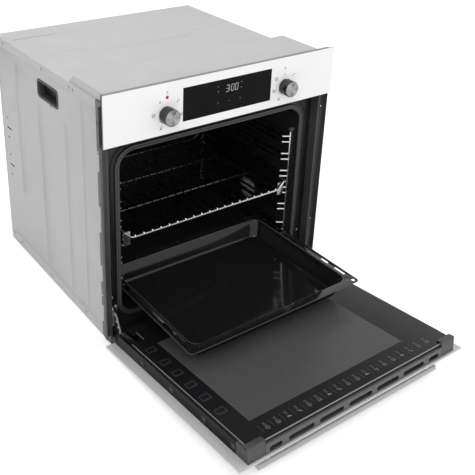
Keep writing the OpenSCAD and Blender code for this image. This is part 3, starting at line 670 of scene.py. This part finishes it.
# The clock's digits with their X, their size, stroke and slant, and the two dots of the colon
DIGITS, DIGIT_Z = (("3", -7), ("0", 6), ("0", 16.5)), 547
DIGIT_W, DIGIT_H, STROKE, SLANT = 6.6, 14, 1.0, 0.10
COLON, COLON_R = ((2.6, 551), (3.3, 557)), 0.7
SEGMENTS = {"3": "abgcd", "0": "abcdef"}
BARS = {"a": ((0, 1), (1, 1)), "b": ((1, 1), (1, 0.5)), "c": ((1, 0.5), (1, 0)), "d": ((0, 0), (1, 0)),
        "e": ((0, 0), (0, 0.5)), "f": ((0, 0.5), (0, 1)), "g": ((0, 0.5), (1, 0.5))}


def digit(p, x, shape):
    """A seven-segment digit with a slight slant."""
    def at(u, v):
        return (x + u * DIGIT_W + v * DIGIT_H * SLANT, DIGIT_Z + v * DIGIT_H)
    for s in SEGMENTS[shape]:
        a, b = BARS[s]
        p.line(at(*a), at(*b), STROKE, FACE)


p = Parts()
for shape, x in DIGITS:
    digit(p, x, shape)
for x, z in COLON:
    p.disc(x, z, COLON_R, FACE)
p.make("clock_digits", LIT, "housing")

# Small crosses beside the clock, and dashes below it
CROSSES = ((-28, 562), (-27, 551), (33, 562), (33, 550))
DASHES, DASH_Z = (-27, 2, 31), 526
p = Parts()
for x, z in CROSSES:
    p.line((x - 1.6, z), (x + 1.6, z), 0.9, FACE)
    p.line((x, z - 1.2), (x, z + 1.2), 0.7, FACE)
for x in DASHES:
    p.line((x - 1.5, DASH_Z), (x + 1.5, DASH_Z), 0.8, FACE)
p.make("display_marks", DIM, "housing")

# ---------------------------------------------------------------- knobs

KNOB_X, KNOB_Z, KNOB_FACE = 155, 528, -46
# Radius and Y from the shaft round the skirt to the dished face, and of the ring behind the knob
KNOB = ((3, 5), (3, -21.2), (17.0, -21.2), (18.0, -22.0), (18.0, -43.8), (17.5, -45.2), (16.4, -46.0),
        (15.9, -45.8), (1.0, -45.8))
RING = ((19.2, -19.9), (19.6, -20.4), (19.2, -20.9), (6, -20.9), (6, -19.9))
KNOB_SIDES, RING_SIDES = 64, 48
# Ends of the pointer line, from the knob's middle in X, its width, and the Y it lies between
POINTER, POINTER_W, POINTER_Y = ((3, 535.5), (4.2, 540)), 1.8, (-46.15, -45.6)
# Faces with less of the normal along the axis than this belong to the knob's side
SIDEWAYS = 0.4

for name, body, x in (("left_knob", "mode_knob", -KNOB_X), ("right_knob", "heat_knob", KNOB_X)):
    p = Parts()
    p.lathe(KNOB, (x, KNOB_Z), KNOB_SIDES)
    # The knob's face carries the painted sheen
    face = brushed_disc_with_sheen(name + "_metal", (x * MM, KNOB_FACE * MM, KNOB_Z * MM))
    k = p.make(name + "_turned", face, body, smooth=True)
    grip = shader(name + "_side", (0.07, 0.07, 0.07), rough=0.28, metal=1.0, scale=(8, 300, 8),
                  bump=0.05, bump_scale=900)
    second(k.data, grip, lambda c, n: abs(n.y) < SIDEWAYS)
    round_edges(k, 0.15 * MM, 2, 25)
    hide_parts(name)
    p = Parts()
    p.line(*[(x + u, z) for u, z in POINTER], POINTER_W, POINTER_Y)
    p.make(name + "_pointer", DARK, body, bevel=0.1 * MM)
    p = Parts()
    p.lathe(RING, (x, KNOB_Z), RING_SIDES)
    p.make(name + "_ring", STEEL, "housing", smooth=True)

# ---------------------------------------------------------------- wire shelf

# Steps of a rounded bend
BEND_STEPS = 5


def arc_path(points, radius):
    """The path with each corner rounded."""
    out = [Vector(points[0])]
    for a, b, c in zip(points, points[1:], points[2:]):
        a, b, c = Vector(a), Vector(b), Vector(c)
        u, v = (a - b).normalized(), (c - b).normalized()
        for i in range(BEND_STEPS + 1):
            t = i / BEND_STEPS
            out.append(b + u * radius * (1 - t) ** 2 + v * radius * t**2)
    out.append(Vector(points[-1]))
    return out


# Move along the wire and share of the radius at the domed start and end
DOME_START = ((-1, 0.35), (-0.7, 0.75), (0, 1))
DOME_END = ((0, 1), (0.7, 0.75), (1, 0.35))


def tube(p, path, r, n=10):
    """A round wire along the path with domed ends."""
    rings, side = [], None
    ends = len(path) - 1
    for i, q in enumerate(path):
        d = (path[min(i + 1, ends)] - path[max(i - 1, 0)]).normalized()
        side = side or d.orthogonal().normalized()
        side = (side - d * side.dot(d)).normalized()
        up = d.cross(side)
        round_wire = [side * math.cos(j * math.tau / n) + up * math.sin(j * math.tau / n) for j in range(n)]
        steps = DOME_START if i == 0 else DOME_END if i == ends else ((0, 1),)
        for move, k in steps:
            rings.append([tuple(q + d * r * move + w * r * k) for w in round_wire])
    k, m = p.loft(rings, False)
    p.f += [[k + j for j in range(m)], [k + (len(rings) - 1) * m + j for j in range(m)]]


# Height of the shelf's bars, where the front and rear bars run, and how far their ends rise
SHELF_Z, SHELF_FRONT, SHELF_BACK, SHELF_RISE = 232, 34, 394, 19
# Half width at the bends and at the raised side bars, and the bars' radius and that of their bends
BAR_X, RAIL_X, BAR_R, BAR_BEND = 208, 225, 2.9, 9
WIRES, WIRE_PITCH, WIRE_R = 19, 22, 1.7
# Y and height over the bars of a wire that lies on them and bends down at both ends
WIRE_RUN = ((32.5, 1.5), (33.2, 4.0), (35.5, 4.6), (392.5, 4.6), (395.5, 1.5))
CROSS_Y, CROSS_X, CROSS_DROP, CROSS_R = (150, 270), 206, 1, 2.3
# Painted light: the steel is a lit copy in front of BRIGHT_Y, with painted glints at the wires' tips past
# TIP_Y and TIP_Z
BRIGHT_Y, TIP_Y, TIP_Z = 38 * MM, 36.5 * MM, 234.5 * MM

p = Parts()
for y in (SHELF_FRONT, SHELF_BACK):
    bar = ((-RAIL_X, y, SHELF_Z + SHELF_RISE), (-BAR_X, y, SHELF_Z), (BAR_X, y, SHELF_Z),
           (RAIL_X, y, SHELF_Z + SHELF_RISE))
    tube(p, arc_path(bar, BAR_BEND), BAR_R, 12)
for x in (-RAIL_X, RAIL_X):
    ends = (SHELF_FRONT - 3, SHELF_BACK + 3)
    tube(p, [Vector((x, y, SHELF_Z + SHELF_RISE)) for y in ends], BAR_R, 12)
for i in range(WIRES):
    x = (i - WIRES // 2) * WIRE_PITCH
    tube(p, [Vector((x, y, SHELF_Z + z)) for y, z in WIRE_RUN], WIRE_R, 8)
for y in CROSS_Y:
    tube(p, [Vector((x, y, SHELF_Z - CROSS_DROP)) for x in (-CROSS_X, CROSS_X)], CROSS_R)
shelf = p.make("wire_shelf_grid", DARK_WIRE, "shelf", smooth=True)
# Painted light: the shelf is the shaded wire, its front the lit copy and its tips painted glints in chrome
second(shelf.data, SHELF_LIT_FRONT, lambda c, n: c.y < BRIGHT_Y)
second(shelf.data, CHROME, lambda c, n: c.y < TIP_Y and c.z > TIP_Z and abs(c.x) < 200 * MM)
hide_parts("wire_shelf")

# ---------------------------------------------------------------- grip frames and hinge rivets

# Middle and size of the hand grip's mouth, and its frame as (outward offset, X) points
GRIP_Y, GRIP_Z, GRIP_W, GRIP_H, GRIP_R = 262, 505, 100, 40, 9
GRIP_RIM = ((2.4, 279.9), (2.1, 281.0), (1.2, 281.4), (-2.2, 281.4), (-3.2, 280.8), (-4.2, 277),
            (-5.0, 266))
# Rivets through each hinge arm: Y, Z and radius, and the X they reach
RIVETS, RIVET_X, RIVET_SIDES = ((-1, 25, 3.0), (5, 36, 2.6), (11, 48, 2.6)), (256.8, 263.2), 12

for s, side in ((-1, "left"), (1, "right")):
    p = Parts()
    rings = []
    for off, x in GRIP_RIM:
        outline = round_rect(GRIP_W + 2 * off, GRIP_H + 2 * off, GRIP_R + max(off, -3), 6)
        rings.append([(s * x, GRIP_Y + u, GRIP_Z + v) for u, v in outline])
    p.loft(rings, False)
    p.make(side + "_grip_frame", RIM, "housing", smooth=True)

for s, side in ((-1, "left"), (1, "right")):
    p = Parts()
    for y, z, r in RIVETS:
        n = len(p.v)
        turns = [i * math.tau / RIVET_SIDES for i in range(RIVET_SIDES)]
        for x in RIVET_X:
            p.v += [(s * x, y + r * math.cos(a), z + r * math.sin(a)) for a in turns]
        for i in range(RIVET_SIDES):
            j = (i + 1) % RIVET_SIDES
            p.f.append([n + i, n + j, n + RIVET_SIDES + j, n + RIVET_SIDES + i])
        p.f += [[n + k + i for i in range(RIVET_SIDES)] for k in (0, RIVET_SIDES)]
    p.make(side + "_hinge_rivets", CHROME, "housing", bevel=0.3 * MM)

# ---------------------------------------------------------------- baking tray

TRAY_Y, TRAY_W, TRAY_D = -50.0, 466, 370
# Size taken off, corner radius and Z, from the rolled rim inwards to the floor, above and below
PAN = ((1.4, 9.3, 110.05), (0.2, 9.9, 110.3), (0, 10, 110.7), (0.6, 9.7, 111.1), (2.4, 8.8, 111.25),
       (5, 8, 111.0), (39, 22, 111.0), (42, 22, 110.3), (44, 22, 108.5), (62, 22, 75), (65, 21, 71.5),
       (71, 19, 69.2), (80, 16, 68.4))
UNDER = ((1.4, 9.3, 110.05), (38, 22, 110.05), (42, 22, 107.5), (60, 22, 74), (66, 20, 69), (80, 16, 67.2))
# The rolled rim lies between these heights, and its faces aren't flatter than this; they get a painted
# highlight
RIM_LOW, RIM_HIGH, RIM_FLAT = 110.1 * MM, 111.3 * MM, 0.97
# Slots in the rim: X, width and corner radius, then the Y and length of each; and the hanging hole
SLOT_X, SLOT_W, SLOT_R = 222.5, 6, 2.9
SLOTS = ((-180, 34), (-130, 24), (30, 24), (80, 34))
HANG_X, HANG_Y, HANG_R, HANG_SIDES = 222, -224, 4.5, 16
CUT_Z = (105, 115)

p = Parts()
for surface in (PAN, UNDER):
    rings = []
    for less, r, z in surface:
        outline = round_rect(TRAY_W - less, TRAY_D - less, r, 8)
        rings.append([(x, TRAY_Y + y, z) for x, y in outline])
    k, n = p.loft(rings, False)
    p.f.append([k + (len(rings) - 1) * n + i for i in range(n)])
tray = p.make("baking_tray_pan", TRAY, "tray", smooth=True)
bm = bmesh.new()
bm.from_mesh(tray.data)
bmesh.ops.remove_doubles(bm, verts=bm.verts, dist=1e-6)
bmesh.ops.recalc_face_normals(bm, faces=bm.faces)
bm.to_mesh(tray.data)
bm.free()
for f in tray.data.polygons:
    f.use_smooth = True
# Painted highlight along the rolled rim
second(tray.data, RIM_HIGHLIGHT, lambda c, n: RIM_LOW < c.z < RIM_HIGH and abs(n.z) < RIM_FLAT)

cut = Parts()
for s in (-1, 1):
    for y, length in SLOTS:
        cut.prism([(s * SLOT_X + u, y + v) for u, v in round_rect(SLOT_W, length, SLOT_R, 5)], CUT_Z)
turns = [i * math.tau / HANG_SIDES for i in range(HANG_SIDES)]
cut.prism([(HANG_X + HANG_R * math.cos(a), HANG_Y + HANG_R * math.sin(a)) for a in turns], CUT_Z)
cutter = cut.make("rim_cutter", TRAY, "tray")
b = tray.modifiers.new("slots", "BOOLEAN")
b.operation = "DIFFERENCE"
b.object = cutter
b.solver = "EXACT"
bpy.context.view_layer.update()
cut_mesh = bpy.data.meshes.new_from_object(tray.evaluated_get(bpy.context.evaluated_depsgraph_get()))
tray.modifiers.clear()
tray.data = cut_mesh
bpy.data.objects.remove(cutter)
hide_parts("baking_tray")

# ---------------------------------------------------------------- door prints and details

# The prints lie on the inner glass of the shut door
GLASS = (15.5, 15.62)
WINDOW_X, WINDOW_Z = (-226, 179), (104, 417)
# Pitch of the window's dots in metres, and their radius as a share of it
DOT_PITCH, DOT_R = 0.0036, 0.36
# Programme frames: X, the Z of each, size and corner
PROGRAM_X, PROGRAM_Z, PROGRAM_SIZE = -250, (118, 172, 217, 265, 313, 362), (20, 17, 2.5, 3)
# Row of pictograms between dividers, with the Z and width of three strokes under each of them
DIVIDERS, DIVIDER_Z, ROW_X, ROW_PITCH, ROW_Z = 19, (434, 456), -223, 25.2, 450
CAPTION = ((443, 5.5), (439.5, 4), (436, 6))

window = dotted("window_print", -OPEN, (0.106, 0.106, 0.108), (0.014, 0.014, 0.015), DOT_PITCH, DOT_R)
p = Parts()
p.box(WINDOW_X, GLASS, WINDOW_Z)
p.make("window_dots", window, "door", at=on_door)

p = Parts()
for z in PROGRAM_Z:
    outline = [(PROGRAM_X + u, z + v) for u, v in round_rect(*PROGRAM_SIZE)]
    for a, b in zip(outline, outline[1:] + outline[:1]):
        p.line(a, b, 0.8, GLASS)
    for u in (-5, 0, 5):
        p.line((PROGRAM_X + u, z - 6), (PROGRAM_X + u, z - 3.5), 0.7, GLASS)
    p.line((PROGRAM_X - 9, z + 5.2), (PROGRAM_X + 9, z + 5.2), 0.6, GLASS)
p.make("program_frames", SOFT_PRINT, "door", at=on_door)

p = Parts()
for i in range(DIVIDERS):
    x = ROW_X + i * ROW_PITCH
    p.line(*[(x, z) for z in DIVIDER_Z], 0.6, GLASS)
p.make("row_dividers", SOFT_PRINT, "door", at=on_door)


def plate_picture(p, x, z):
    p.disc(x, z, 4.2, GLASS, hole=3.3)
    p.line((x - 2, z), (x + 2, z), 0.8, GLASS)


def tin_picture(p, x, z):
    p.frame(x, z, 7.5, 6.5, 0.8, GLASS)
    p.line((x - 2.2, z + 1), (x + 2.2, z + 1), 1.2, GLASS)


def round_picture(p, x, z):
    p.disc(x - 1.6, z, 2.5, GLASS)
    p.disc(x + 2.6, z + 1, 1.7, GLASS)


def slice_picture(p, x, z):
    p.line((x - 4, z - 2), (x + 3.5, z + 2), 1.9, GLASS)
    p.line((x - 1, z + 4.5), (x + 4, z + 4.5), 0.8, GLASS)


PICTURES = (plate_picture, tin_picture, round_picture, slice_picture)
p = Parts()
for i in range(DIVIDERS - 1):
    x = ROW_X + ROW_PITCH / 2 + i * ROW_PITCH
    PICTURES[i % len(PICTURES)](p, x, ROW_Z)
    for z, w in CAPTION:
        p.line((x - w / 2, z), (x + w / 2, z), 0.8, GLASS)
p.make("pictogram_row", ROW_PRINT, "door", at=on_door)

# Painted shade: dark blocks fill the gaps at the door's upper edge: the X of both, and the Y and Z of each
FILL_X = (-235, 235)
FILLS = (((7.2, 11.2), (455, 470)), ((-15.9, -15.5), (450, 473)))
p = Parts()
for y, z in FILLS:
    p.box(FILL_X, y, z)
p.make("door_gap_shade", DARK, "door", at=on_door)

# Clips on the door's sides: X, Y, height, and the Z of each
CLIP_X, CLIP_Y, CLIP_H, CLIP_Z = (275.9, 277), (-7, 3), 12, (118, 228, 338, 428)
for s, side in ((-1, "left"), (1, "right")):
    p = Parts()
    for z in CLIP_Z:
        p.box([s * x for x in CLIP_X], CLIP_Y, (z, z + CLIP_H))
    p.make(side + "_door_clips", CLIP, "door", at=on_door, bevel=0.3 * MM)

# ---------------------------------------------------------------- cavity details

# Nubs of the side walls beside the front rods: X, Y, height, and the Z of each
NUB_X, NUB_Y, NUB_H, NUB_Z = (238, 241.9), (26, 34), 6, (100, 172, 218, 264, 310, 356)
p = Parts()
for z in NUB_Z:
    for s in (-1, 1):
        p.box([s * x for x in NUB_X], NUB_Y, (z, z + NUB_H))
p.make("wall_nubs", CAVITY, "housing", bevel=1 * MM)

# ---------------------------------------------------------------- stage, light and camera

# Half width of the floor and how far it lies under the base, in metres
FLOOR_HALF, FLOOR_DROP = 9, 0.0006
corners = ((-1, -1), (1, -1), (1, 1), (-1, 1))
floor = bpy.data.meshes.new("floor")
floor.from_pydata([(i * FLOOR_HALF, k * FLOOR_HALF, -FLOOR_DROP) for i, k in corners], [], [[0, 1, 2, 3]])
floor.materials.append(shader("floor_paper", (0.93, 0.93, 0.93), rough=0.9, vary=0.01, scale=(2, 2, 2),
                              rough_vary=0.02, emit=0.28))
ground = bpy.data.objects.new("floor", floor)
bpy.context.scene.collection.objects.link(ground)

world = bpy.data.worlds.new("studio")
world.use_nodes = True
world.node_tree.nodes["Background"].inputs["Color"].default_value = (1, 1, 1, 1)
world.node_tree.nodes["Background"].inputs["Strength"].default_value = 0.95
bpy.context.scene.world = world
bpy.context.scene.view_settings.view_transform = "Standard"


def lamp(name, at, aim, size, power):
    """A soft rectangular lamp at one point that faces another."""
    data = bpy.data.lights.new(name, "AREA")
    data.shape = "RECTANGLE"
    data.size, data.size_y = size
    data.energy = power
    o = bpy.data.objects.new(name, data)
    o.location = at
    o.rotation_euler = (Vector(aim) - Vector(at)).to_track_quat("-Z", "Y").to_euler()
    bpy.context.scene.collection.objects.link(o)


lamp("key", (-1.6, -1.8, 2.9), (0, -0.1, 0.3), (1.6, 1.6), 26)
lamp("fill", (2.4, -1.6, 1.9), (0, 0, 0.3), (1.2, 1.8), 10)
lamp("back", (0.2, 2.4, 2.6), (0, 0.1, 0.4), (2.0, 1.0), 12)

# Camera: place in millimetres; azimuth, elevation and roll in radians; sensor width and focal length
# in millimetres; and lens shift as a share of the picture's width
CAM_AT = (-942.17, -1230.66, 1124.19)
CAM_AZ, CAM_EL, CAM_ROLL = -0.6331, 0.4263, 0.0305
SENSOR, LENS, CAM_SHIFT = 36, 59.434863, (0.0652632, -0.2)
back = Vector((math.sin(CAM_AZ) * math.cos(CAM_EL), -math.cos(CAM_AZ) * math.cos(CAM_EL), math.sin(CAM_EL)))
right = Vector((math.cos(CAM_AZ), math.sin(CAM_AZ), 0))
up = back.cross(right)
rolled_right = math.cos(CAM_ROLL) * right + math.sin(CAM_ROLL) * up
rolled_up = -math.sin(CAM_ROLL) * right + math.cos(CAM_ROLL) * up
view = Matrix((rolled_right, rolled_up, back)).transposed().to_4x4()
view.translation = Vector(CAM_AT) * MM
cam = bpy.data.cameras.new("camera")
cam.sensor_width = SENSOR
cam.lens = LENS
cam.shift_x, cam.shift_y = CAM_SHIFT
cam.clip_start = 0.05
cam.clip_end = 60
camera = bpy.data.objects.new("camera", cam)
camera.matrix_world = view
bpy.context.scene.collection.objects.link(camera)
bpy.context.scene.camera = camera
